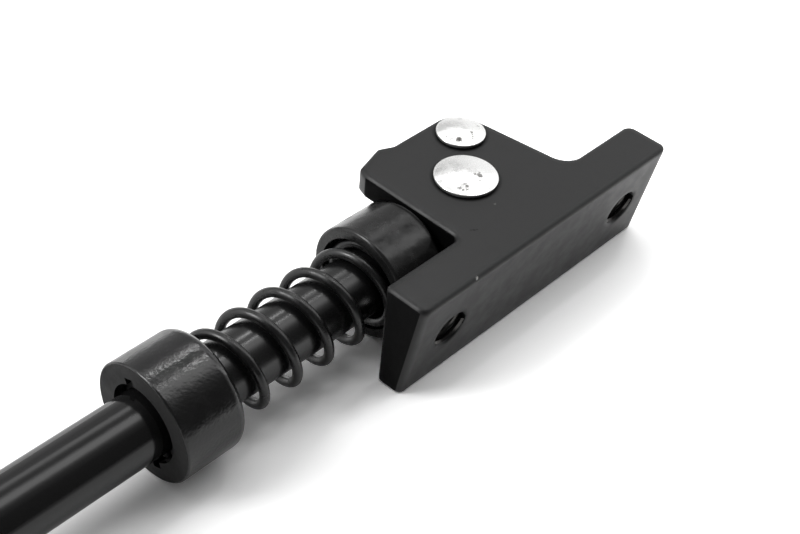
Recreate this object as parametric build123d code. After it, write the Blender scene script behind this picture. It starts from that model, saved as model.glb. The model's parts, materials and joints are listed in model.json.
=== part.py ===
# Electric scooter kickstand: a bracket with two ears, a spring-loaded leg that turns between them,
# and the sliding cup whose flat face holds the leg folded or down.
# Millimetres. Origin: centre of the tilted mounting face, midway between its two bolt holes and
# level with the leg's axis. +X runs along the flange away from the leg's foot, +Z is the side with
# the rivet heads, and -Y faces the scooter.
from build123d import *
from math import cos, pi, radians, sin, sqrt, tan
import os

# Flange
HOLE_SPACING = 67.0
HOLE_RADIUS = 5.2
THREAD_LENGTH = 8.8
SPOT_FACE_RADIUS = 6.4
NEAR_MARGIN = 13.4
FAR_MARGIN = 13.0
FACE_TILT = 9.3
NEAR_THICKNESS = 9.9
FAR_THICKNESS = 10.3
OUTER_CORNER = 2.0
NEAR_CORNER = 1.6
FAR_CORNER = 2.6
TOE_ROUND = 3.0
EDGE = 0.9
LOWER_EDGE = 0.9

# Ears
EAR_REACH = 18.2
FRONT_ROOT = 1.8
FAR_LEAN = 7.7
ROOT_FILLET = 5.5
BOSS_RADIUS = 8.0
BOSS_BLEND = 0.96
BUMP_FOOT = 3.9
BUMP_PEAK = 7.9
BUMP_HEIGHT = 1.8
BUMP_ROUND = 1.6
CAM_SET_BACK = 1.1
CAM_DROP = 0.9
CAM_FLANK = 4.2
CAM_ROUND = 1.4
SLOT_STEP = 0.6
SLOT_FILLET = 2.0
SLOT_MOUTH = 1.0

# Pivot and stop rivets
PIVOT_X = -3.3
PIVOT_SET_BACK = 1.5
PIVOT_SHANK = 4.5
PIVOT_HEAD = 8.15
STOP_OFFSET = (12.7, 12.9)
STOP_SHANK = 3.1
STOP_HEAD = 6.45
HEAD_RIM = 0.9
HEAD_DOME = 1.3
HEAD_LIP = 0.3
TAIL_SINK = 2.6
TAIL_FLUSH = 0.15

# Leg rod
ROD_RADIUS = 8.0
FLAT_THICKNESS = 14.0
TAIL_RADIUS = 9.4
FLAT_FRONT = 12.0
LEG_LENGTH = 205.0
BUSH_WALL = 1.0
WASHER_RADIUS = 7.6
WASHER_THICKNESS = 1.05

# Sliding cup
CUP_RADIUS = 15.0
CUP_LENGTH = 16.3
CUP_GAP = 0.8
CUP_RECESS_DEPTH = 5.0
CUP_NOSE = 1.2
CUP_RIM = 0.9

# Stop collar and its cross pin
COLLAR_RADIUS = 15.0
COLLAR_LENGTH = 16.9
COLLAR_X = -104.2
COLLAR_NEAR_ROUND = 0.5
COLLAR_FAR_ROUND = 2.4
COLLAR_WALL_SHARE = 0.9
COLLAR_MOUTH_DEPTH = 3.4
COLLAR_RECESS_DEPTH = 3.0
PIN_RADIUS = 1.25
PIN_LENGTH = 21.0
PIN_INSET = 3.6
PIN_TURN = 22.0
PIN_CHAMFER = 0.4

# Spring
WIRE = 2.5
SPRING_PITCH = 10.05
CLOSED_TURNS = 0.75
RAMP_TURNS = 0.5
CLOSED_PITCH = 2.65
COIL_X_AT_SIDE = -83.6
SPRING_SAG = 0.5
POINTS_PER_TURN = 8

# Foot cap
CAP_WALL = 3.0
CAP_TAPER = 0.8
CAP_LENGTH = 26.0
CAP_SOLE = 6.0
CAP_ROUND = 4.0

# Clearances
RUNNING = 0.06
FITTED = 0.03
SLIDING = 0.09
SEATED = 0.05
CUP_SIDE_GAP = 0.4
COIL_GAP = 1.1
SEAT_GAP = 0.7
MOUTH_GAP = 1.8
PIN_END_GAP = 0.9
SPARE = 5.0
SAME_PLACE = 0.05

# Values that follow from the sizes above
TOP = CUP_RADIUS
BOTTOM = -CUP_RADIUS
HALF_SPACING = HOLE_SPACING / 2
NEAR_END = -HALF_SPACING - NEAR_MARGIN
FAR_END = HALF_SPACING + FAR_MARGIN
LEG_Y = NEAR_THICKNESS + CUP_SIDE_GAP + CUP_RADIUS
PIVOT_Y = LEG_Y - PIVOT_SET_BACK
STOP_X = PIVOT_X + STOP_OFFSET[0]
STOP_Y = PIVOT_Y + STOP_OFFSET[1]
EAR_SIDE = STOP_Y + BOSS_RADIUS
FRONT = PIVOT_X - EAR_REACH
SPRING_RADIUS = ROD_RADIUS + COIL_GAP + WIRE
SPRING_SEAT_RADIUS = SPRING_RADIUS + SEAT_GAP
SLOT_HALF = FLAT_THICKNESS / 2 + WASHER_THICKNESS + SEATED
SLOT_WALL = max(NEAR_THICKNESS, FAR_THICKNESS) + SLOT_STEP
CUP_FAR = FRONT - CUP_GAP
CUP_NEAR = CUP_FAR - CUP_LENGTH
CUP_FLOOR = CUP_NEAR + CUP_RECESS_DEPTH
COLLAR_FAR = COLLAR_X + COLLAR_LENGTH
COLLAR_FLOOR = COLLAR_FAR - COLLAR_RECESS_DEPTH
LEG_END = PIVOT_X - LEG_LENGTH
LEG_AXIS = Axis((0, LEG_Y, 0), (1, 0, 0))
OUTER_TOP = -TOP * tan(radians(FACE_TILT))


def outer_face_y(z):
    """Where the tilted mounting face lies at height z."""
    return -z * tan(radians(FACE_TILT))


def upright(x, y, z0, z1, radius):
    """A cylinder along Z between two heights."""
    return Pos(x, y, (z0 + z1) / 2) * Cylinder(radius, z1 - z0)


def turned(points):
    """A solid turned about the leg's axis from (x, radius) points."""
    outline = Polyline(*[(x, LEG_Y + r) for x, r in points], close=True)
    return revolve(make_face(outline), LEG_AXIS)


def edges_near(solid, x=None, y=None, z=None, tolerance=SAME_PLACE):
    """The edges whose middle lies at the given coordinates."""
    found = []
    for edge in solid.edges():
        middle = edge.position_at(0.5)
        wanted = ((middle.X, x), (middle.Y, y), (middle.Z, z))
        if all(value is None or abs(real - value) < tolerance for real, value in wanted):
            found.append(edge)
    return found


def rim_at(solid, x, radius):
    """The round edges of one radius about the leg's axis at one place along it."""
    found = []
    for edge in solid.edges().filter_by(GeomType.CIRCLE):
        if abs(edge.center().X - x) < SAME_PLACE and abs(edge.radius - radius) < SAME_PLACE:
            found.append(edge)
    return found


def plan_outline():
    """The bracket seen from above: the flange, and the ears with their cam corner."""
    lean = radians(FAR_LEAN)
    boss_x = STOP_X + BOSS_RADIUS * cos(lean)
    boss_y = STOP_Y + BOSS_RADIUS * sin(lean)
    root_x = boss_x + (boss_y - FAR_THICKNESS) * tan(lean)
    boss_corner = (boss_x - (EAR_SIDE - boss_y) * tan(lean), EAR_SIDE)
    low = OUTER_TOP - SPARE
    corners = [
        ((NEAR_END, low), 0),
        ((FAR_END, low), 0),
        ((FAR_END, FAR_THICKNESS), FAR_CORNER),
        ((root_x, FAR_THICKNESS), ROOT_FILLET),
        (boss_corner, BOSS_RADIUS * BOSS_BLEND),
        ((PIVOT_X - BUMP_FOOT, EAR_SIDE), BUMP_ROUND),
        ((PIVOT_X - BUMP_PEAK, EAR_SIDE + BUMP_HEIGHT), BUMP_ROUND),
        ((FRONT + CAM_SET_BACK, EAR_SIDE - CAM_DROP), CAM_ROUND),
        ((FRONT, EAR_SIDE - CAM_FLANK), CAM_ROUND),
        ((FRONT, NEAR_THICKNESS), FRONT_ROOT),
        ((NEAR_END, NEAR_THICKNESS), NEAR_CORNER),
    ]
    face = make_face(Polyline(*[point for point, radius in corners], close=True))
    for point, radius in corners:
        if radius:
            vertex = face.vertices().sort_by_distance(Vector(*point, 0))[0]
            face = fillet(vertex, radius)
    return face


def wedge_under_face():
    """The space outside the tilted mounting face, cut off the casting."""
    outside = OUTER_TOP - 2 * SPARE
    high = TOP + SPARE
    low = BOTTOM - SPARE
    section = Polyline(
        (outer_face_y(high), high),
        (outer_face_y(low), low),
        (outside, low),
        (outside, high),
        close=True,
    )
    face = Plane.YZ * make_face(section)
    return Pos(NEAR_END - SPARE, 0, 0) * extrude(face, FAR_END - NEAR_END + 2 * SPARE)


def toe():
    """What is missing from the flange's square far corner underneath, where it is rounded."""
    width = 2 * (FAR_THICKNESS + TOP)
    block = Pos(FAR_END, 0, BOTTOM) * Box(2 * TOE_ROUND, width, 2 * TOE_ROUND)
    middle = Pos(FAR_END - TOE_ROUND, 0, BOTTOM + TOE_ROUND)
    return block - middle * Rot(90, 0, 0) * Cylinder(TOE_ROUND, width)


def ear_slot():
    """The gap between the ears that the leg's head turns in, open on three sides."""
    depth = 2 * EAR_SIDE
    middle = ((NEAR_END + FAR_END) / 2, SLOT_WALL + depth / 2, 0)
    gap = Pos(*middle) * Box(FAR_END - NEAR_END, depth, 2 * SLOT_HALF)
    inner = gap.edges().filter_by(Axis.X).group_by(Axis.Y)[0]
    return fillet(inner, SLOT_FILLET)


def mounting_bore(x):
    """A threaded bolt hole, drawn as its bore, and the flat spot where it comes out inside."""
    square = Pos(x, 0, 0) * Rot(90 + FACE_TILT, 0, 0)
    depth = 2 * FAR_THICKNESS
    bore = square * Cylinder(HOLE_RADIUS, 2 * depth)
    spot = square * Pos(0, 0, -THREAD_LENGTH - depth / 2) * Cylinder(SPOT_FACE_RADIUS, depth)
    return bore + spot


def rivet_hole(x, y, shank):
    """A rivet's hole through both ears, with a countersink for its tail underneath."""
    hole = upright(x, y, BOTTOM - SPARE, TOP + SPARE, shank + FITTED)
    mouth = shank + FITTED + TAIL_SINK
    sink = Pos(x, y, BOTTOM + TAIL_SINK / 2) * Cone(mouth, shank + FITTED, TAIL_SINK)
    return hole + sink


def bracket():
    """One casting: tilted flange, two ears and the slot between them."""
    body = Pos(0, 0, BOTTOM) * extrude(plan_outline(), TOP - BOTTOM)
    body -= wedge_under_face()
    outer_ends = edges_near(body, x=NEAR_END, y=0) + edges_near(body, x=FAR_END, y=0)
    body = fillet(outer_ends, OUTER_CORNER)
    body = fillet(body.faces().sort_by(Axis.Z)[-1].outer_wire().edges(), EDGE)
    body = fillet(body.faces().sort_by(Axis.Z)[0].outer_wire().edges(), LOWER_EDGE)
    body -= toe()
    body -= ear_slot()
    mouth = edges_near(body, x=FRONT, z=SLOT_HALF)
    body = fillet(mouth, SLOT_MOUTH)
    body -= mounting_bore(-HALF_SPACING)
    body -= mounting_bore(HALF_SPACING)
    body -= rivet_hole(PIVOT_X, PIVOT_Y, PIVOT_SHANK)
    body -= rivet_hole(STOP_X, STOP_Y, STOP_SHANK)
    return body


def rivet(x, y, shank, head):
    """A domed rivet through both ears, peened flush in its countersink underneath."""
    tail = BOTTOM + TAIL_FLUSH
    flare = shank + TAIL_SINK - TAIL_FLUSH
    rim = TOP + HEAD_RIM
    crown = rim + HEAD_DOME
    section = Polyline(
        (0, tail),
        (flare - TAIL_FLUSH, tail),
        (shank, BOTTOM + TAIL_SINK),
        (shank, TOP),
        (head - HEAD_LIP, TOP),
        (head, TOP + HEAD_LIP),
        (head, rim),
    )
    sphere = (head**2 + HEAD_DOME**2) / (2 * HEAD_DOME)
    half = head / 2
    bulge = crown - sphere + sqrt(sphere**2 - half**2)
    dome = ThreePointArc((head, rim), (half, bulge), (0, crown))
    axis_line = Line((0, crown), (0, tail))
    face = make_face(section + dome + axis_line)
    return Pos(x, y, 0) * revolve(Plane.XZ * face, Axis.Z)


def pivot_bush():
    """The bush pressed through the leg's head, which turns on the pivot rivet."""
    half = FLAT_THICKNESS / 2
    bore = PIVOT_SHANK + RUNNING
    ring = upright(PIVOT_X, PIVOT_Y, -half, half, bore + BUSH_WALL)
    return ring - upright(PIVOT_X, PIVOT_Y, -half - SPARE, half + SPARE, bore)


def pivot_washer(side):
    """One of the two wear washers between the leg's flats and the ears."""
    inner = side * (FLAT_THICKNESS / 2 + SEATED / 2)
    outer = inner + side * (WASHER_THICKNESS - SEATED / 2)
    low, high = sorted((inner, outer))
    ring = upright(PIVOT_X, PIVOT_Y, low, high, WASHER_RADIUS)
    return ring - upright(PIVOT_X, PIVOT_Y, low - SPARE, high + SPARE, PIVOT_SHANK + RUNNING)


def pin_place():
    """Where the collar's pin crosses the leg, turned a little from upright."""
    return Pos(COLLAR_X + PIN_INSET, LEG_Y, 0) * Rot(-PIN_TURN, 0, 0)


def leg_rod():
    """The round bar of the leg, flattened at its head where it turns between the ears."""
    wide = 4 * ROD_RADIUS
    tail_x = PIVOT_X + TAIL_RADIUS
    length = tail_x - LEG_END
    rod = Pos((tail_x + LEG_END) / 2, LEG_Y, 0) * Rot(0, 90, 0) * Cylinder(ROD_RADIUS, length)
    straight = Pos((LEG_END + PIVOT_X) / 2, LEG_Y, 0) * Box(LEG_LENGTH, wide, wide)
    rod &= upright(PIVOT_X, PIVOT_Y, -wide, wide, TAIL_RADIUS) + straight
    flat_x = PIVOT_X - FLAT_FRONT
    for side in (-1, 1):
        height = side * (FLAT_THICKNESS / 2 + ROD_RADIUS)
        middle = ((flat_x + tail_x + SPARE) / 2, LEG_Y, height)
        rod -= Pos(*middle) * Box(tail_x - flat_x + SPARE, wide, 2 * ROD_RADIUS)
    bush = PIVOT_SHANK + RUNNING + BUSH_WALL
    rod -= upright(PIVOT_X, PIVOT_Y, -wide, wide, bush)
    rod -= pin_place() * Cylinder(PIN_RADIUS, wide)
    return rod


def sliding_cup():
    """The cup that slides on the leg: its far face rides the ears, its recess holds the spring."""
    bore = ROD_RADIUS + SLIDING
    outline = [
        (CUP_NEAR, SPRING_SEAT_RADIUS),
        (CUP_NEAR, CUP_RADIUS),
        (CUP_FAR, CUP_RADIUS),
        (CUP_FAR, bore),
        (CUP_FLOOR, bore),
        (CUP_FLOOR, SPRING_SEAT_RADIUS),
    ]
    cup = turned(outline)
    cup = fillet(rim_at(cup, CUP_NEAR, CUP_RADIUS), CUP_RIM)
    return fillet(rim_at(cup, CUP_FAR, CUP_RADIUS), CUP_NOSE)


def stop_collar():
    """The collar that the spring pushes against, notched for the pin through the leg."""
    bore = ROD_RADIUS + FITTED
    mouth = ROD_RADIUS + MOUTH_GAP
    wall = COLLAR_RADIUS - SPRING_SEAT_RADIUS
    outline = [
        (COLLAR_X, mouth),
        (COLLAR_X, COLLAR_RADIUS),
        (COLLAR_FAR, COLLAR_RADIUS),
        (COLLAR_FAR, SPRING_SEAT_RADIUS),
        (COLLAR_FLOOR, SPRING_SEAT_RADIUS),
        (COLLAR_FLOOR, bore),
        (COLLAR_X + COLLAR_MOUTH_DEPTH, bore),
        (COLLAR_X + COLLAR_MOUTH_DEPTH, mouth),
    ]
    collar = turned(outline)
    collar = fillet(rim_at(collar, COLLAR_X, COLLAR_RADIUS), COLLAR_NEAR_ROUND)
    far_round = min(COLLAR_FAR_ROUND, COLLAR_WALL_SHARE * wall)
    collar = fillet(rim_at(collar, COLLAR_FAR, COLLAR_RADIUS), far_round)
    width = 2 * (PIN_RADIUS + FITTED)
    reach = PIN_LENGTH + 2 * PIN_END_GAP
    notch = Box(PIN_INSET + SPARE, width, reach)
    notch = pin_place() * (Pos(-(PIN_INSET + SPARE) / 2, 0, 0) * notch)
    seat = pin_place() * Cylinder(width / 2, reach)
    return collar - notch - seat


def collar_pin():
    """The pin driven through the leg that keeps the collar from sliding down."""
    pin = pin_place() * Cylinder(PIN_RADIUS, PIN_LENGTH)
    return chamfer(pin.edges().filter_by(GeomType.CIRCLE), PIN_CHAMFER)


def ramp_travel(share):
    """Travel along the leg inside the ramp from closed to open turns, up to a share of it."""
    rise = SPRING_PITCH - CLOSED_PITCH
    return RAMP_TURNS * (CLOSED_PITCH * share + rise * (share**3 - share**4 / 2))


def coil_advance(turn, total):
    """How far along the leg the wire has come after so many turns."""
    end_turns = CLOSED_TURNS + RAMP_TURNS
    end_travel = CLOSED_TURNS * CLOSED_PITCH + ramp_travel(1)
    if turn <= CLOSED_TURNS:
        return turn * CLOSED_PITCH
    if turn <= end_turns:
        return CLOSED_TURNS * CLOSED_PITCH + ramp_travel((turn - CLOSED_TURNS) / RAMP_TURNS)
    if turn <= total - end_turns:
        return end_travel + (turn - end_turns) * SPRING_PITCH
    whole = 2 * end_travel + (total - 2 * end_turns) * SPRING_PITCH
    return whole - coil_advance(total - turn, total)


def spring():
    """The compression spring round the leg, with closed end turns seated in cup and collar."""
    start = COLLAR_FLOOR + WIRE / 2 + SEATED
    end = CUP_FLOOR - WIRE / 2 - SEATED
    ends = 2 * (CLOSED_TURNS * CLOSED_PITCH + ramp_travel(1))
    open_turns = (end - start - ends) / SPRING_PITCH
    total = open_turns + 2 * (CLOSED_TURNS + RAMP_TURNS)
    open_start = start + ends / 2
    phase = (open_start - COIL_X_AT_SIDE) / SPRING_PITCH - CLOSED_TURNS - RAMP_TURNS
    radius = SPRING_RADIUS - WIRE / 2
    steps = round(total * POINTS_PER_TURN)
    points = []
    for step in range(steps + 1):
        turn = total * step / steps
        angle = 2 * pi * (turn + phase)
        x = start + coil_advance(turn, total)
        points.append((x, LEG_Y + radius * cos(angle), radius * sin(angle) - SPRING_SAG))
    path = Spline(*points)
    section = Plane(origin=path @ 0, z_dir=path % 0) * Circle(WIRE / 2)
    return sweep(section, path, is_frenet=True)


def foot_cap():
    """The rubber cap on the leg's end."""
    low = LEG_END - CAP_SOLE
    high = low + CAP_LENGTH
    inside = ROD_RADIUS + FITTED
    outline = [
        (low, 0),
        (low, ROD_RADIUS + CAP_WALL),
        (high, ROD_RADIUS + CAP_WALL - CAP_TAPER),
        (high, inside),
        (LEG_END - SEATED, inside),
        (LEG_END - SEATED, 0),
    ]
    cap = turned(outline)
    return fillet(rim_at(cap, low, ROD_RADIUS + CAP_WALL), CAP_ROUND)


PARTS = {
    "bracket": bracket,
    "pivot_rivet": lambda: rivet(PIVOT_X, PIVOT_Y, PIVOT_SHANK, PIVOT_HEAD),
    "stop_rivet": lambda: rivet(STOP_X, STOP_Y, STOP_SHANK, STOP_HEAD),
    "pivot_bush": pivot_bush,
    "pivot_washer_upper": lambda: pivot_washer(1),
    "pivot_washer_lower": lambda: pivot_washer(-1),
    "leg_rod": leg_rod,
    "sliding_cup": sliding_cup,
    "spring": spring,
    "stop_collar": stop_collar,
    "collar_pin": collar_pin,
    "foot_cap": foot_cap,
}

os.makedirs("parts", exist_ok=True)
for name, build in PARTS.items():
    solid = build()
    print(name, round(solid.volume, 1), "mm3")
    export_step(solid, f"parts/{name}.step")
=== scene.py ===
import json
from math import cos, exp, pi, radians, sin, tau

import bmesh
import bpy
from mathutils import Matrix, Vector, noise


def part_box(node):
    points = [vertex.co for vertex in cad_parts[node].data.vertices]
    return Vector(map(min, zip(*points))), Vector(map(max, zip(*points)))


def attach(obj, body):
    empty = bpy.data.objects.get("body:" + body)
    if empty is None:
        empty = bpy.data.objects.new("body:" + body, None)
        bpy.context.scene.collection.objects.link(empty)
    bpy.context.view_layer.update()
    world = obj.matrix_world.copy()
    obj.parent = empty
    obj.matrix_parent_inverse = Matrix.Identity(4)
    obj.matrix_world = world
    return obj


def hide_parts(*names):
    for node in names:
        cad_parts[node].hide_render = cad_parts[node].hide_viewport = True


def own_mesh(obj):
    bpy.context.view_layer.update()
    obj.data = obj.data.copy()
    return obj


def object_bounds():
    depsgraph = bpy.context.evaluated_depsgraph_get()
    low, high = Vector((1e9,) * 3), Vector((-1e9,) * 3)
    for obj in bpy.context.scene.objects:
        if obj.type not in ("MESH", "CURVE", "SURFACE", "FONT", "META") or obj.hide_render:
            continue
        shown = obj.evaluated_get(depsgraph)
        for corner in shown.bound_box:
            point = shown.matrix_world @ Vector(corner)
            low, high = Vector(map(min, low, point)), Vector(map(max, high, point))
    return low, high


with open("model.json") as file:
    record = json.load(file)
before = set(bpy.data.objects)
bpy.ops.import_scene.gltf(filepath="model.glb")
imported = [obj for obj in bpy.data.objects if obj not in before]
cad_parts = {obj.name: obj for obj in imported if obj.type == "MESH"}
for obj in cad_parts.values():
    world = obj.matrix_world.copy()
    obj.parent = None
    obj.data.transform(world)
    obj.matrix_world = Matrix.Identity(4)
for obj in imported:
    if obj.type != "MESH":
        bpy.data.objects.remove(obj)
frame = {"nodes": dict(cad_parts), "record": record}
cad_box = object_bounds()

# Camera. It stands at the foot end, on the scooter's side and above the part, and looks along the
# leg at the bracket, so that the leg runs out of the picture at its lower left.
AIM = Vector((-0.03943, 0.01220, 0.0150))
AZIMUTH = radians(39.14)
PITCH = radians(41.85)
ROLL = radians(-6.08)
DISTANCE = 0.3255
FOCAL_PIXELS = 1424.15
PHOTO_WIDTH = 800
SENSOR = 36.0
NEAREST = 0.01
FARTHEST = 20.0

ahead_level = Vector((cos(AZIMUTH), sin(AZIMUTH), 0))
right_level = Vector((sin(AZIMUTH), -cos(AZIMUTH), 0))
ahead = ahead_level * cos(PITCH) - Vector((0, 0, 1)) * sin(PITCH)
down_level = ahead.cross(right_level)
right = right_level * cos(ROLL) + down_level * sin(ROLL)
up = right_level * sin(ROLL) - down_level * cos(ROLL)
stance = Matrix((right, up, -ahead)).transposed()
lens = bpy.data.cameras.new("camera")
lens.sensor_width = SENSOR
lens.lens = FOCAL_PIXELS * SENSOR / PHOTO_WIDTH
lens.clip_start = NEAREST
lens.clip_end = FARTHEST
camera = bpy.data.objects.new("camera", lens)
camera.matrix_world = Matrix.Translation(AIM - ahead * DISTANCE) @ stance.to_4x4()
bpy.context.scene.collection.objects.link(camera)
bpy.context.scene.camera = camera
bpy.context.scene.view_settings.view_transform = "Standard"


# Floor. A sheet of white paper that keeps the object's soft shadow, with painted light beside the
# flange that makes that shadow paler. It is lifted to clear white where it is seen, and it ends on the
# scooter's side in the reflections.
FLOOR_SIZE = 6.0
PAINTED_LIGHT_FROM = -0.075
PAINTED_LIGHT_TO = -0.015
PAINTED_LIGHT_LIFT = 0.55
PAPER_END = -0.24
PAPER_FADE = -0.05
BEYOND_PAPER = 0.25
FLOOR_WHITE = 0.74
SEEN_LIFT = 0.42
REFLECTED_LIFT = 0.02


def node(tree, kind, **settings):
    """Adds a shader node: a setting names one of its inputs or, failing that, one of its own values."""
    made = tree.nodes.new("ShaderNode" + kind)
    for name, value in settings.items():
        label = name.replace("_", " ")
        sockets = [s for s in made.inputs if s.name.lower() == label.lower() and s.enabled]
        if sockets:
            sockets[0].default_value = value
        else:
            setattr(made, name, value)
    return made


def maths(tree, operation, first, second, third=None):
    """A Math node over sockets or numbers. Returns its result."""
    made = node(tree, "Math", operation=operation)
    for socket, value in zip(made.inputs, (first, second, third)):
        if isinstance(value, bpy.types.NodeSocket):
            tree.links.new(value, socket)
        elif value is not None:
            socket.default_value = value
    return made.outputs[0]


def ranged(tree, value, start, end, low=0.0, high=1.0, soft=False):
    """A value that goes from low to high while another goes from start to end, softly or evenly."""
    made = node(tree, "MapRange", From_Min=start, From_Max=end)
    made.interpolation_type = "SMOOTHSTEP" if soft else "LINEAR"
    made.inputs["To Min"].default_value = low
    made.inputs["To Max"].default_value = high
    tree.links.new(value, made.inputs["Value"])
    return made.outputs[0]


def split(tree, vector):
    """The X, Y and Z of a vector."""
    made = node(tree, "SeparateXYZ")
    tree.links.new(vector, made.inputs[0])
    return made.outputs


def new_finish(name):
    """A new material with its Principled shader."""
    made = bpy.data.materials.new(name)
    made.use_nodes = True
    return made


def opened(finish):
    """A finish's node tree, its shader and the place on the piece, for more nodes to be linked."""
    tree = finish.node_tree
    return tree, tree.nodes["Principled BSDF"], node(tree, "TexCoord").outputs["Object"]


bm = bmesh.new()
bmesh.ops.create_grid(bm, x_segments=2, y_segments=2, size=FLOOR_SIZE / 2)
bmesh.ops.translate(bm, verts=bm.verts, vec=(0, 0, cad_box[0].z))
floor_mesh = bpy.data.meshes.new("floor")
bm.to_mesh(floor_mesh)
bm.free()
floor = bpy.data.objects.new("floor", floor_mesh)
bpy.context.scene.collection.objects.link(floor)
table_top = new_finish("white_table")
tree, shader, place = opened(table_top)
tree.nodes.remove(shader)
ray = node(tree, "LightPath").outputs
spot = split(tree, place)
# Painted light: beside the flange the floor is lifted paler, lightening the shadow there, both where it
# is seen and in reflections.
painted_light_by_flange = ranged(tree, spot["X"], PAINTED_LIGHT_FROM, PAINTED_LIGHT_TO, high=PAINTED_LIGHT_LIFT, soft=True)
paper = ranged(tree, spot["Y"], PAPER_END, PAPER_FADE, low=BEYOND_PAPER, soft=True)
paper_left = maths(tree, "MAXIMUM", paper, ray["Is Camera Ray"])
reflected = maths(tree, "MAXIMUM", ray["Is Glossy Ray"], ray["Is Transmission Ray"])
watched = maths(tree, "MAXIMUM", ray["Is Camera Ray"], reflected)
raised = maths(tree, "MULTIPLY", reflected, REFLECTED_LIFT)
raised = maths(tree, "MULTIPLY_ADD", ray["Is Camera Ray"], SEEN_LIFT, raised)
raised = maths(tree, "MULTIPLY_ADD", watched, painted_light_by_flange, raised)
total = node(tree, "AddShader")
for number, strength in enumerate((FLOOR_WHITE, raised)):
    sheet = node(tree, "BsdfDiffuse")
    tree.links.new(maths(tree, "MULTIPLY", paper_left, strength), sheet.inputs["Color"])
    tree.links.new(sheet.outputs[0], total.inputs[number])
tree.links.new(total.outputs[0], tree.nodes["Material Output"].inputs["Surface"])
floor_mesh.materials.append(table_top)


# Studio. A key lamp at the camera's left, two long soft lamps in line with the leg that draw its two
# streaks, two small ones that glitter on the collar, and a black screen on the scooter's side. The
# room's LEVELS are given at their angles about the leg, from +Y over the top to -Y.
KEY_LAMP = Vector((-0.60, 0.47, 0.65))
KEY_SIZE = (0.66, 0.66)
KEY_POWER = 12.0
GLITTER_LAMPS = (Vector((0.455, 0.43, 0.78)), Vector((0.460, 0.045, 0.887)))
GLITTER_SIZE = (0.16, 0.06)
GLITTER_POWER = 0.9
LAMP_DISTANCE = 1.5
LAMP_LEAN = 0.85
LAMP_LEAN_FROM = 0.35
SCREEN_END = 0.18
SCREEN_FADE = 0.45
BESIDE_SCREEN = 0.95
BRIGHTEST = 3.0
LEVELS = (
    (0, 0.90),
    (8, 0.65),
    (30, 0.58),
    (46, 0.60),
    (52, 1.95),
    (59, 1.95),
    (66, 0.75),
    (73, 0.45),
    (80, 0.55),
    (91, 2.60),
    (103, 2.60),
    (110, 0.80),
    (118, 0.33),
    (135, 0.12),
    (180, 0.10),
)

world = bpy.data.worlds.new("studio")
bpy.context.scene.world = world
world.use_nodes = True
tree = world.node_tree
tree.nodes.clear()
towards = split(tree, node(tree, "TexCoord").outputs["Generated"])
about_leg = maths(tree, "ARCTAN2", towards["Z"], towards["Y"])
along_leg = maths(tree, "SUBTRACT", towards["X"], LAMP_LEAN_FROM)
leant = maths(tree, "MULTIPLY_ADD", along_leg, -LAMP_LEAN, about_leg)
share = maths(tree, "DIVIDE", leant, pi)
bands = node(tree, "ValToRGB")
ramp = bands.color_ramp
while len(ramp.elements) < len(LEVELS):
    ramp.elements.new(1.0)
for stop, (angle, level) in zip(ramp.elements, LEVELS):
    stop.position = angle / 180
    stop.color = (level / BRIGHTEST,) * 3 + (1,)
tree.links.new(share, bands.inputs["Fac"])
beside = ranged(tree, along_leg, SCREEN_END, SCREEN_FADE, high=BESIDE_SCREEN, soft=True)
level = maths(tree, "MULTIPLY", bands.outputs["Color"], BRIGHTEST)
level = maths(tree, "MAXIMUM", level, beside)
room = node(tree, "Background", Color=(1, 1, 1, 1))
tree.links.new(level, room.inputs["Strength"])
backdrop = node(tree, "Background", Color=(1, 1, 1, 1), Strength=1.0)
ray = node(tree, "LightPath")
seen = node(tree, "MixShader")
tree.links.new(ray.outputs["Is Camera Ray"], seen.inputs[0])
tree.links.new(room.outputs[0], seen.inputs[1])
tree.links.new(backdrop.outputs[0], seen.inputs[2])
output = node(tree, "OutputWorld")
tree.links.new(seen.outputs[0], output.inputs["Surface"])


def soft_lamp(name, direction, size, power):
    """An area lamp that looks at the part, with its first side laid along the leg."""
    light = bpy.data.lights.new(name, "AREA")
    light.shape = "RECTANGLE"
    light.size, light.size_y = size
    light.energy = power
    back = direction.normalized()
    across = back.cross(Vector((1, 0, 0))).normalized()
    along = across.cross(back)
    turned_to = Matrix((along, across, back)).transposed().to_4x4()
    lamp = bpy.data.objects.new(name, light)
    lamp.matrix_world = Matrix.Translation(AIM + back * LAMP_DISTANCE) @ turned_to
    bpy.context.scene.collection.objects.link(lamp)


soft_lamp("key_lamp", KEY_LAMP, KEY_SIZE, KEY_POWER)
for number, direction in enumerate(GLITTER_LAMPS):
    soft_lamp("glitter_lamp_" + str(number + 1), direction, GLITTER_SIZE, GLITTER_POWER)


# Bracket. One casting, shot-blasted and sprayed satin black, with sawn ends that stayed duller and that
# carry painted shade, darkest on the ear fronts in the slot. A chip on the flange's upper edge shows
# bare metal. The top has a speck of dust and a dark smudge, and painted shade rings the rivet heads.
MM = 0.001
PAINT = (0.0058, 0.0058, 0.0060, 1)
PAINT_IOR = 1.5
GLOSS_CLOUD = (5 * MM, 4.0, 0.6)
GLOSS_SPREAD = (0.35, 0.65)
SWELL_DETAIL = 1.0
CASTING_ROUGHNESS = (0.33, 0.42)
CASTING_GRAIN = (0.5 * MM, 0.005 * MM)
CASTING_SHINE = 0.35
EDGE_ROUND = 2.4 * MM
EDGE_SAMPLES = 8
SAWN_FACE = 0.95
SAWN_ROUGHNESS = 0.85
SAWN_PAINTED_SHADE = 0.75
EARS_FROM = -0.035
RIVET_SHADE_FROM = 0.25 * MM
RIVET_SHADE_TO = 1.10 * MM
RIVET_SHADE_DEPTH = 0.65
SPOT_GRAIN = 0.35 * MM
SPOT_TEAR = 1.6
SPOT_CORE = 0.6
BARE_METAL = (0.55, 0.54, 0.52, 1)
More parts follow.
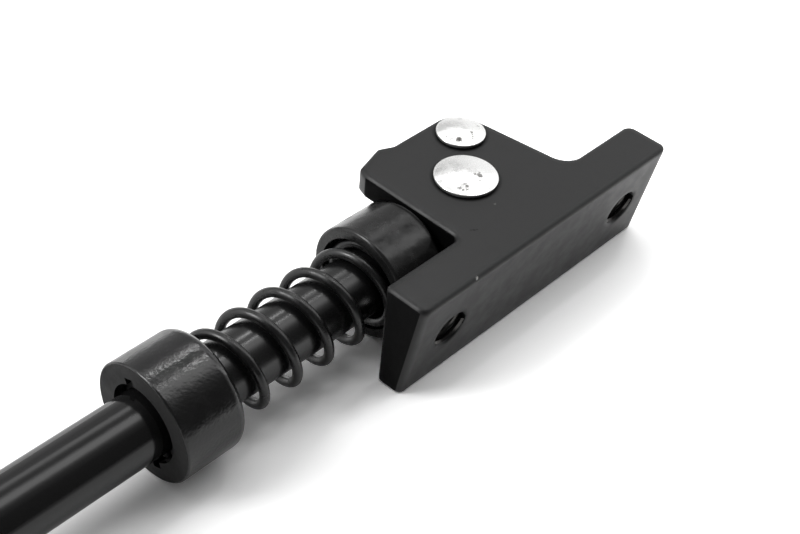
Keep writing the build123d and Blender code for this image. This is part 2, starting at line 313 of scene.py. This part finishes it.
BRACKET_SPOTS = (
    ((-28.8, -2.3, 15.0), 0.60, 1.0),
    ((-5.5, 12.4, 15.0), 0.38, 0.10),
)
BRACKET_SMUDGES = (
    ((-16.7, 9.4, 15.0), 0.40, 0.55),
    ((-16.1, 9.0, 15.0), 0.34, 0.45),
    ((-17.3, 9.8, 15.0), 0.34, 0.40),
)


def cloud_on(tree, place, size, detail=2.0, roughness=0.5):
    """A soft noise, from 0 to 1, whose lumps have the given size."""
    made = node(tree, "TexNoise", Scale=1 / size, Detail=detail, Roughness=roughness)
    tree.links.new(place, made.inputs["Vector"])
    return made.outputs["Fac"]


def bumped(tree, height, depth, below=None):
    """The normal of a surface that a mask raises by a depth, over another bumped one if given."""
    made = node(tree, "Bump", Strength=1.0, Distance=depth)
    tree.links.new(height, made.inputs["Height"])
    if below is not None:
        tree.links.new(below, made.inputs["Normal"])
    return made.outputs["Normal"]


def away_from(tree, place, centre):
    """How far a place on the piece is from a centre."""
    made = node(tree, "VectorMath", operation="DISTANCE")
    tree.links.new(place, made.inputs[0])
    made.inputs[1].default_value = centre
    return made.outputs["Value"]


def spots(tree, place, marks):
    """A mask of small ragged marks with soft edges, given as (centre, radius, strength) in mm."""
    ragged = cloud_on(tree, place, SPOT_GRAIN)
    torn = maths(tree, "MULTIPLY_ADD", ragged, SPOT_TEAR, -SPOT_TEAR / 2)
    mask = None
    for centre, radius, strength in marks:
        away = away_from(tree, place, Vector(centre) * MM)
        share = maths(tree, "MULTIPLY_ADD", away, 1 / (radius * MM), torn)
        inside = ranged(tree, share, 1.0, SPOT_CORE, high=strength, soft=True)
        mask = inside if mask is None else maths(tree, "MAXIMUM", mask, inside)
    return mask


def mixed(tree, mask, below, above):
    """The colour below, or the one above where the mask is 1."""
    made = node(tree, "Mix", data_type="RGBA")
    tree.links.new(mask, made.inputs["Factor"])
    for label, colour in (("A", below), ("B", above)):
        socket = [s for s in made.inputs if s.name == label and s.enabled][0]
        if isinstance(colour, bpy.types.NodeSocket):
            tree.links.new(colour, socket)
        else:
            socket.default_value = colour
    return [s for s in made.outputs if s.enabled][0]


def end_faces(tree):
    """A mask of the sawn end faces, which look towards the foot."""
    facing = split(tree, node(tree, "TexCoord").outputs["Normal"])
    return maths(tree, "LESS_THAN", facing["X"], -SAWN_FACE)


def black_paint(name, roughness, grain, swell=None, colour=PAINT, sawn=None):
    """Black paint whose gloss varies softly. Its grain and, where asked, a longer swell are given
    as (size, depth). Sawn end faces can be given another roughness."""
    made = new_finish(name)
    tree, shader, place = opened(made)
    sheen = ranged(tree, cloud_on(tree, place, *GLOSS_CLOUD), *GLOSS_SPREAD, *roughness)
    if sawn:
        sheen = maths(tree, "MULTIPLY_ADD", end_faces(tree), sawn - roughness[1], sheen)
    tree.links.new(sheen, shader.inputs["Roughness"])
    shader.inputs["Base Color"].default_value = colour
    shader.inputs["IOR"].default_value = PAINT_IOR
    below = None
    if swell:
        below = bumped(tree, cloud_on(tree, place, swell[0], SWELL_DETAIL), swell[1])
    above = bumped(tree, cloud_on(tree, place, grain[0]), grain[1], below)
    tree.links.new(above, shader.inputs["Normal"])
    return made


def dress(name, finish):
    """Gives a CAD node its finish."""
    skin = frame["nodes"][name].data.materials
    skin.clear()
    skin.append(finish)


casting_paint = black_paint("casting_paint", CASTING_ROUGHNESS, CASTING_GRAIN, sawn=SAWN_ROUGHNESS)
tree, shader, place = opened(casting_paint)
chipped = mixed(tree, spots(tree, place, BRACKET_SPOTS), PAINT, BARE_METAL)
tree.links.new(chipped, shader.inputs["Base Color"])
# Painted shade: the sawn end faces are darkened through Metallic, and the ear fronts in the slot most.
# The dark smudges added to it are real marks.
on_ears = maths(tree, "GREATER_THAN", split(tree, place)["X"], EARS_FROM)
sawn_shade = maths(tree, "MULTIPLY_ADD", on_ears, 1.0 - SAWN_PAINTED_SHADE, SAWN_PAINTED_SHADE)
shade_and_smudges = maths(tree, "MULTIPLY", end_faces(tree), sawn_shade)
shade_and_smudges = maths(tree, "MAXIMUM", shade_and_smudges, spots(tree, place, BRACKET_SMUDGES))
# Painted shade: a dark ring on the top round each rivet head, where the head's contact shadow falls.
bracket_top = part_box("bracket")[1].z
for name in ("pivot_rivet", "stop_rivet"):
    low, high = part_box(name)
    reach = (high.x - low.x) / 2
    away = away_from(tree, place, ((low.x + high.x) / 2, (low.y + high.y) / 2, bracket_top))
    rivet_shade = ranged(tree, away, reach + RIVET_SHADE_TO, reach + RIVET_SHADE_FROM, high=RIVET_SHADE_DEPTH)
    shade_and_smudges = maths(tree, "MAXIMUM", shade_and_smudges, rivet_shade)
tree.links.new(shade_and_smudges, shader.inputs["Metallic"])
shader.inputs["Specular IOR Level"].default_value = CASTING_SHINE
rounded = node(tree, "Bevel", Radius=EDGE_ROUND, samples=EDGE_SAMPLES)
grain_bump = shader.inputs["Normal"].links[0].from_node
tree.links.new(rounded.outputs[0], grain_bump.inputs["Normal"])
dress("bracket", casting_paint)


# Bolt threads. The two bolt holes are tapped for a 12 mm bolt after painting. The cut steel has
# blackened in the grooves, so only the crests catch the light.
THREAD_PITCH = 1.75
THREAD_CREST = 4.72
THREAD_ROOT = 5.26
CREST_WIDTH = 0.40
ROOT_WIDTH = 1.54
THREAD_STEPS = 48
THREAD_START = 0.9
THREAD_END = 8.0
THREAD_ROUGHNESS = (0.12, 0.26)
THREAD_GRAIN = (0.4 * MM, 0.015 * MM)
THREAD_STEEL = (0.06, 0.058, 0.056, 1)
FACE_TILT = radians(9.3)
SHARP_ANGLE = radians(35)
MERGED_WITHIN = 0.001 * MM


def make_piece(name, bm, finish, body):
    """Puts a finished bmesh into the scene as a piece that rides on a body."""
    mesh = bpy.data.meshes.new(name)
    bm.to_mesh(mesh)
    bm.free()
    mesh.polygons.foreach_set("use_smooth", [True] * len(mesh.polygons))
    mesh.set_sharp_from_angle(angle=SHARP_ANGLE)
    mesh.materials.append(finish)
    piece = bpy.data.objects.new(name, mesh)
    bpy.context.scene.collection.objects.link(piece)
    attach(piece, body)
    return piece


def close_up(bm):
    """Fills the open ends, merges what lies together and points all faces outwards."""
    open_edges = [edge for edge in bm.edges if edge.is_boundary]
    bmesh.ops.holes_fill(bm, edges=open_edges)
    bmesh.ops.remove_doubles(bm, verts=bm.verts, dist=MERGED_WITHIN)
    bmesh.ops.recalc_face_normals(bm, faces=bm.faces)


def bolt_thread(x):
    """The helical ridge inside a tapped hole, from its outer to its inner mouth."""
    bm = bmesh.new()
    section = (
        (THREAD_ROOT, -ROOT_WIDTH / 2),
        (THREAD_CREST, -CREST_WIDTH / 2),
        (THREAD_CREST, CREST_WIDTH / 2),
        (THREAD_ROOT, ROOT_WIDTH / 2),
    )
    ring = [bm.verts.new((r * MM, 0, (THREAD_START + h) * MM)) for r, h in section]
    edges = [bm.edges.new((ring[i - 1], ring[i])) for i in range(len(ring))]
    turns = (THREAD_END - THREAD_START) / THREAD_PITCH
    steps = round(turns * THREAD_STEPS)
    rise = (THREAD_END - THREAD_START) * MM / steps
    bmesh.ops.spin(
        bm,
        geom=ring + edges,
        cent=(0, 0, 0),
        axis=(0, 0, 1),
        dvec=(0, 0, rise),
        angle=tau * turns,
        steps=steps,
    )
    close_up(bm)
    set_in = Matrix.Translation((x, 0, 0)) @ Matrix.Rotation(FACE_TILT - pi / 2, 4, "X")
    bmesh.ops.transform(bm, matrix=set_in, verts=bm.verts)
    return bm


cut_thread = black_paint("cut_thread", THREAD_ROUGHNESS, THREAD_GRAIN, colour=THREAD_STEEL)
opened(cut_thread)[1].inputs["Metallic"].default_value = 1.0
mounts = {mount["name"]: mount for mount in frame["record"]["mounts"]}
for end in ("near", "far"):
    hole_x = mounts[end + "_bolt_hole"]["pos_m"][0]
    make_piece(end + "_bolt_thread", bolt_thread(hole_x), cut_thread, "bracket")


# Rivets. Two turned steel rivets, zinc plated, hold the ears together. The press that closed them
# has left small dents and dark marks on their bright domes. Their side walls stayed dull, and
# underneath they are peened flush.
PIVOT_SHANK = 4.5
STOP_SHANK = 3.1
RIVET_ROUND = 0.30
RIVET_RIM = 0.9
RIVET_LIP = 0.30
RIVET_STEPS = 144
DOME_RINGS = 28
ARC_RINGS = 5
QUARTER = radians(90)
TAIL_SINK = 2.6
TAIL_FLARE = 2.2
TAIL_CHAMFER = (0.3, 0.25)
TAIL_DISH = 0.35
DISH_MOUTH = 0.7
DISH_FLOOR = 0.3
WAVE_DEPTH = 0.02
WAVE_SIZE = 2.5
DENT_STEEPNESS = 4
RIVET_ROUGHNESS = (0.20, 0.34)
RIVET_CLOUD = (1.6 * MM, 3.0, 0.55)
RIVET_SPREAD = (0.3, 0.7)
RIVET_BUMP = 0.0015 * MM
STEEL = (0.93, 0.93, 0.92, 1)
STEEL_MARK = (0.07, 0.065, 0.06, 1)
DULL_ZINC = (0.14, 0.14, 0.14, 1)
DULL_BELOW = 0.62
PIVOT_DENTS = (
    ((-8.1, 20.7), 1.1, 0.05),
    ((-7.3, 29.7), 1.0, 0.04),
    ((-10.3, 26.3), 1.2, 0.05),
    ((1.9, 18.6), 1.0, 0.04),
    ((-1.9, 20.7), 0.5, 0.05),
    ((-0.2, 27.5), 1.6, 0.03),
)
PIVOT_SPOTS = (
    ((-1.9, 20.7, 17.0), 0.85, 0.80),
    ((-2.5, 21.7, 17.1), 0.50, 0.70),
    ((-1.2, 21.4, 17.0), 0.45, 0.60),
    ((-3.3, 19.4, 17.0), 0.40, 0.55),
    ((-8.9, 21.0, 16.7), 0.70, 0.65),
    ((-8.7, 20.1, 16.7), 0.65, 0.75),
    ((-7.9, 19.6, 16.8), 0.60, 0.75),
    ((-7.2, 20.2, 16.9), 0.60, 0.75),
    ((-7.0, 21.1, 16.9), 0.55, 0.60),
    ((-7.3, 29.7, 16.7), 1.20, 0.20),
    ((-10.3, 26.3, 16.5), 1.00, 0.35),
)
STOP_DENTS = (
    ((5.7, 34.2), 0.8, 0.07),
    ((12.5, 39.8), 1.3, 0.04),
    ((13.8, 34.8), 1.1, 0.04),
    ((3.8, 38.2), 0.7, 0.04),
)
STOP_SPOTS = (
    ((5.7, 34.2, 16.7), 0.95, 0.92),
    ((3.8, 38.2, 16.6), 0.50, 0.65),
    ((4.2, 37.2, 16.6), 0.36, 0.55),
    ((10.1, 33.7, 16.9), 0.50, 0.75),
    ((9.6, 33.1, 16.8), 0.32, 0.70),
    ((9.1, 32.6, 16.8), 0.32, 0.70),
    ((8.6, 32.1, 16.7), 0.32, 0.70),
    ((8.1, 31.5, 16.6), 0.32, 0.70),
    ((12.5, 39.8, 16.5), 0.80, 0.20),
    ((13.8, 34.8, 16.5), 0.60, 0.25),
)


def turned(profile, cent, axis, outward, steps):
    """A solid turned once about an axis from (radius, height) points in mm."""
    bm = bmesh.new()
    cent, axis, outward = Vector(cent), Vector(axis), Vector(outward)
    line = [bm.verts.new(cent + outward * (r * MM) + axis * (h * MM)) for r, h in profile]
    edges = [bm.edges.new(pair) for pair in zip(line, line[1:])]
    bmesh.ops.spin(
        bm,
        geom=line + edges,
        cent=cent,
        axis=axis,
        dvec=(0, 0, 0),
        angle=tau,
        steps=steps,
        use_merge=True,
    )
    close_up(bm)
    return bm


def rivet_steel(name, marks):
    """Bright plated steel, softly clouded, with the press's dark marks and a dull side wall."""
    made = new_finish(name)
    tree, shader, place = opened(made)
    cloud = cloud_on(tree, place, *RIVET_CLOUD)
    sheen = ranged(tree, cloud, *RIVET_SPREAD, *RIVET_ROUGHNESS)
    tree.links.new(sheen, shader.inputs["Roughness"])
    facing = split(tree, node(tree, "TexCoord").outputs["Normal"])
    side_wall = maths(tree, "LESS_THAN", facing["Z"], DULL_BELOW)
    tree.links.new(maths(tree, "SUBTRACT", 1.0, side_wall), shader.inputs["Metallic"])
    marked = mixed(tree, spots(tree, place, marks), STEEL, STEEL_MARK)
    tree.links.new(mixed(tree, side_wall, marked, DULL_ZINC), shader.inputs["Base Color"])
    tree.links.new(bumped(tree, cloud, RIVET_BUMP), shader.inputs["Normal"])
    return made


def rivet(name, shank, dents, marks):
    """A rivet over its CAD node: domed head, shank and peened tail, dented by the press."""
    low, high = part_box(name)
    table = bracket_top / MM
    radius = (high.x - low.x) / 2 / MM
    crown = high.z / MM
    tail = low.z / MM
    rim = table + RIVET_RIM
    profile = []
    for ring in range(DOME_RINGS + 1):
        r = (radius - RIVET_ROUND) * ring / DOME_RINGS
        profile.append((r, rim + (crown - rim) * (1 - (r / radius) ** 2)))
    edge = profile[-1][1]
    for ring in range(1, ARC_RINGS + 1):
        turn = QUARTER * ring / ARC_RINGS
        drop = RIVET_ROUND * (1 - cos(turn))
        profile.append((radius - RIVET_ROUND * (1 - sin(turn)), edge - drop))
    wall = profile[-1][1] - table
    for ring in range(1, ARC_RINGS + 1):
        turn = QUARTER * ring / ARC_RINGS
        height = wall * (1 - sin(turn))
        profile.append((radius - RIVET_LIP * (1 - cos(turn)), table + height))
    chamfer_width, chamfer_height = TAIL_CHAMFER
    profile.append((shank, table))
    profile.append((shank, tail + TAIL_SINK))
    profile.append((shank + TAIL_FLARE, tail + chamfer_height))
    profile.append((shank + TAIL_FLARE - chamfer_width, tail))
    profile.append((shank * DISH_MOUTH, tail))
    profile.append((shank * DISH_FLOOR, tail + TAIL_DISH))
    profile.append((0, tail + TAIL_DISH))
    middle = ((low.x + high.x) / 2, (low.y + high.y) / 2, 0)
    bm = turned(profile, middle, (0, 0, 1), (1, 0, 0), RIVET_STEPS)
    for vertex in bm.verts:
        if vertex.co.z < rim * MM:
            continue
        sunk = WAVE_DEPTH * (noise.noise(vertex.co / (WAVE_SIZE * MM)) + 1) / 2
        for (x, y), size, depth in dents:
            away = Vector((vertex.co.x / MM - x, vertex.co.y / MM - y)).length
            sunk += depth * exp(-((away / size) ** DENT_STEEPNESS))
        vertex.co.z -= sunk * MM
    finish = rivet_steel(name + "_steel", marks)
    piece = make_piece(name + "_head", bm, finish, "bracket")
    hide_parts(name)


rivet("pivot_rivet", PIVOT_SHANK, PIVOT_DENTS, PIVOT_SPOTS)
rivet("stop_rivet", STOP_SHANK, STOP_DENTS, STOP_SPOTS)


# Bush and washers. The leg turns on a turned steel bush, pressed into its flattened head. A black
# nylon wear washer lies on each side of the head, between it and the ear.
BUSH_STEEL = (0.42, 0.42, 0.43, 1)
BUSH_ROUGHNESS = (0.22, 0.36)
TURNING_PITCH = 0.3 * MM
TURNING_WAVER = 0.4
NYLON = (0.012, 0.012, 0.012, 1)
NYLON_ROUGHNESS = (0.5, 0.6)
NYLON_GRAIN = (0.3 * MM, 0.01 * MM)

bush_steel = new_finish("bush_steel")
tree, shader, place = opened(bush_steel)
turning = node(tree, "TexWave", wave_type="BANDS", bands_direction="Z", Scale=1 / TURNING_PITCH)
turning.inputs["Distortion"].default_value = TURNING_WAVER
tree.links.new(place, turning.inputs["Vector"])
sheen = ranged(tree, turning.outputs["Fac"], 0.0, 1.0, *BUSH_ROUGHNESS)
tree.links.new(sheen, shader.inputs["Roughness"])
shader.inputs["Base Color"].default_value = BUSH_STEEL
shader.inputs["Metallic"].default_value = 1.0
dress("pivot_bush", bush_steel)
nylon = black_paint("nylon", NYLON_ROUGHNESS, NYLON_GRAIN, colour=NYLON)
dress("pivot_washer_upper", nylon)
dress("pivot_washer_lower", nylon)


# Leg. A 16 mm round steel bar, flattened at its head, in gloss black paint, which the cup and the
# spring have rubbed dull along their travel.
LEG_ROUGHNESS = (0.10, 0.14)
LEG_GRAIN = (0.9 * MM, 0.0035 * MM)
LEG_SWELL = (4 * MM, 0.016 * MM)
RUBBED_ROUGHNESS = 0.24
RUBBED_FROM = -0.092
RUBBED_TO = -0.084

leg_paint = black_paint("leg_paint", LEG_ROUGHNESS, LEG_GRAIN, swell=LEG_SWELL)
tree, shader, place = opened(leg_paint)
along = split(tree, place)["X"]
rubbed = ranged(tree, along, RUBBED_FROM, RUBBED_TO, high=RUBBED_ROUGHNESS)
sheen = shader.inputs["Roughness"].links[0].from_socket
tree.links.new(maths(tree, "MAXIMUM", sheen, rubbed), shader.inputs["Roughness"])
dress("leg_rod", leg_paint)


# Sliding cup. A turned and painted sleeve that slides on the leg. The spring sits in its recess and
# presses its flat end against the ears, which holds the leg where it is. That end carries painted
# shade, where the ears shadow it.
CUP_ROUGHNESS = (0.11, 0.34)
CUP_GRAIN = (0.7 * MM, 0.012 * MM)
CUP_SWELL = (4.0 * MM, 0.10 * MM)
CUP_BLACK = (0.009, 0.009, 0.009, 1)
CUP_SHINE = 0.34
CUP_SHADE_FROM = 2.0 * MM
CUP_SHADE_FULL = 1.4 * MM

cup_paint = black_paint("cup_paint", CUP_ROUGHNESS, CUP_GRAIN, swell=CUP_SWELL, colour=CUP_BLACK)
tree, shader, place = opened(cup_paint)
shader.inputs["Specular IOR Level"].default_value = CUP_SHINE
cup_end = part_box("sliding_cup")[1].x
along = split(tree, place)["X"]
# Painted shade: the cup's end against the ears is darkened through Metallic, where the ears shadow it.
painted_cup_shade = ranged(tree, along, cup_end - CUP_SHADE_FROM, cup_end - CUP_SHADE_FULL)
tree.links.new(painted_cup_shade, shader.inputs["Metallic"])
dress("sliding_cup", cup_paint)


# Spring. Compression spring of 2.5 mm wire, wound round the leg and coated black. Its closed end
# turns sit in the cup and the collar.
WIRE = 2.5
COIL_RADIUS = 10.35
COIL_PITCH = 10.05
CLOSED_PITCH = 2.65
CLOSED_TURNS = 0.75
RAMP_TURNS = 0.5
COIL_X_AT_SIDE = -83.6
COIL_SAG = 0.5
STEPS_PER_TURN = 56
WIRE_SIDES = 20
SPRING_ROUGHNESS = (0.18, 0.42)
SPRING_GRAIN = (0.5 * MM, 0.014 * MM)

leg_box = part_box("leg_rod")
leg_y = (leg_box[0].y + leg_box[1].y) / 2 / MM
spring_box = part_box("spring")
coil_start = spring_box[0].x / MM + WIRE / 2
coil_end = spring_box[1].x / MM - WIRE / 2


def wire_pitch(turn, turns):
    """The wire's advance per turn: closed at the ends, and wider by a smooth ramp between them."""
    from_end = min(turn, turns - turn)
    share = min(max((from_end - CLOSED_TURNS) / RAMP_TURNS, 0), 1)
    return CLOSED_PITCH + (COIL_PITCH - CLOSED_PITCH) * share**2 * (3 - 2 * share)


end_travel = CLOSED_TURNS * CLOSED_PITCH + RAMP_TURNS * (CLOSED_PITCH + COIL_PITCH) / 2
open_turns = (coil_end - coil_start - 2 * end_travel) / COIL_PITCH
coil_turns = open_turns + 2 * (CLOSED_TURNS + RAMP_TURNS)
phase = (coil_start + end_travel - COIL_X_AT_SIDE) / COIL_PITCH - CLOSED_TURNS - RAMP_TURNS
bm = bmesh.new()
cent = Vector((0, leg_y * MM, -COIL_SAG * MM))
bmesh.ops.create_circle(bm, segments=WIRE_SIDES, radius=WIRE / 2 * MM)
bmesh.ops.rotate(bm, verts=bm.verts, cent=(0, 0, 0), matrix=Matrix.Rotation(pi / 2, 3, "X"))
bmesh.ops.translate(bm, verts=bm.verts, vec=(coil_start * MM, 0, COIL_RADIUS * MM))
start_turn = Matrix.Rotation(tau * phase - pi / 2, 3, "X")
bmesh.ops.rotate(bm, verts=bm.verts, cent=(0, 0, 0), matrix=start_turn)
bmesh.ops.translate(bm, verts=bm.verts, vec=cent)
last = bm.verts[:] + bm.edges[:]
steps = round(coil_turns * STEPS_PER_TURN)
for step in range(steps):
    turn = coil_turns * (step + 0.5) / steps
    advance = wire_pitch(turn, coil_turns) * coil_turns / steps
    spun = bmesh.ops.spin(
        bm,
        geom=last,
        cent=cent,
        axis=(1, 0, 0),
        dvec=(advance * MM, 0, 0),
        angle=tau * coil_turns / steps,
        steps=1,
    )
    last = [part for part in spun["geom_last"] if not isinstance(part, bmesh.types.BMFace)]
close_up(bm)
spring_coat = black_paint("spring_coat", SPRING_ROUGHNESS, SPRING_GRAIN)
spring = make_piece("coiled_spring", bm, spring_coat, "leg")
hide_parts("spring")
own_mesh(spring)


# Stop collar. A turned ring that the spring pushes against. The pin through the leg lies in its two
# notches. Its black paint has gone on thickly, with an orange peel that breaks up the highlights.
COLLAR_ROUGHNESS = (0.12, 0.26)
COLLAR_GRAIN = (0.7 * MM, 0.052 * MM)
COLLAR_SWELL = (3.5 * MM, 0.06 * MM)
PIN_BLACK = (0.02, 0.02, 0.021, 1)
PIN_ROUGHNESS = (0.3, 0.4)
PIN_GRAIN = (0.4 * MM, 0.01 * MM)

collar_paint = black_paint(
    "collar_paint", COLLAR_ROUGHNESS, COLLAR_GRAIN, swell=COLLAR_SWELL, sawn=SAWN_ROUGHNESS
)
dress("stop_collar", collar_paint)
dress("collar_pin", black_paint("pin_black", PIN_ROUGHNESS, PIN_GRAIN, colour=PIN_BLACK))


# Foot cap. A moulded rubber cap, pushed on the leg's end, that the scooter stands on. Ribs run
# round its side and two grooves round its sole, for grip.
CAP_RIBS = 5
RIB_PITCH = 3.2
RIB_GROOVE = 1.3
RIB_DEPTH = 0.55
RIB_SLOPE = 0.2
FIRST_RIB = 1.2
SOLE_ROUND = 4.0
SOLE_INSET = 0.1
SOLE_GROOVES = ((6.1, 5.1), (3.6, 2.6))
SOLE_DEPTH = 0.9
SOLE_SLOPE = 0.15
ROUND_RINGS = 8
CAP_STEPS = 96
CAP_BORE = 8.03
CAP_SEAT = 0.05
CAP_LIP = 0.6
CAP_TAPER = 0.8
RUBBER = (0.010, 0.010, 0.010, 1)
RUBBER_ROUGHNESS = (0.62, 0.75)
RUBBER_GRAIN = (0.35 * MM, 0.02 * MM)

cap_low, cap_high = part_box("foot_cap")
wide = (cap_high.y - cap_low.y) / 2 / MM
sole = cap_low.x / MM
mouth = cap_high.x / MM
leg_end = leg_box[0].x / MM


def cap_radius(x):
    """The cap's outer radius, which tapers a little towards the cap's mouth."""
    return wide - CAP_TAPER * (x - sole) / (mouth - sole)


profile = [(0, sole)]
for outer, inner in reversed(SOLE_GROOVES):
    profile.append((inner, sole))
    profile.append((inner + SOLE_SLOPE, sole + SOLE_DEPTH))
    profile.append((outer - SOLE_SLOPE, sole + SOLE_DEPTH))
    profile.append((outer, sole))
for ring in range(ROUND_RINGS + 1):
    turn = QUARTER * ring / ROUND_RINGS
    r = wide - SOLE_ROUND * (1 - sin(turn)) - SOLE_INSET
    profile.append((r, sole + SOLE_ROUND * (1 - cos(turn))))
groove = ((0, 0), (RIB_SLOPE, RIB_DEPTH), (RIB_GROOVE - RIB_SLOPE, RIB_DEPTH), (RIB_GROOVE, 0))
for rib in range(CAP_RIBS):
    x = sole + SOLE_ROUND + FIRST_RIB + rib * RIB_PITCH
    for step, depth in groove:
        profile.append((cap_radius(x + step) - depth, x + step))
profile.append((cap_radius(mouth - CAP_LIP), mouth - CAP_LIP))
profile.append((cap_radius(mouth) - CAP_LIP, mouth))
profile.append((CAP_BORE, mouth))
profile.append((CAP_BORE, leg_end - CAP_SEAT))
profile.append((0, leg_end - CAP_SEAT))
bm = turned(profile, (0, leg_y * MM, 0), (1, 0, 0), (0, 0, 1), CAP_STEPS)
rubber = black_paint("foot_rubber", RUBBER_ROUGHNESS, RUBBER_GRAIN, colour=RUBBER)
foot = make_piece("ribbed_foot", bm, rubber, "leg")
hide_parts("foot_cap")
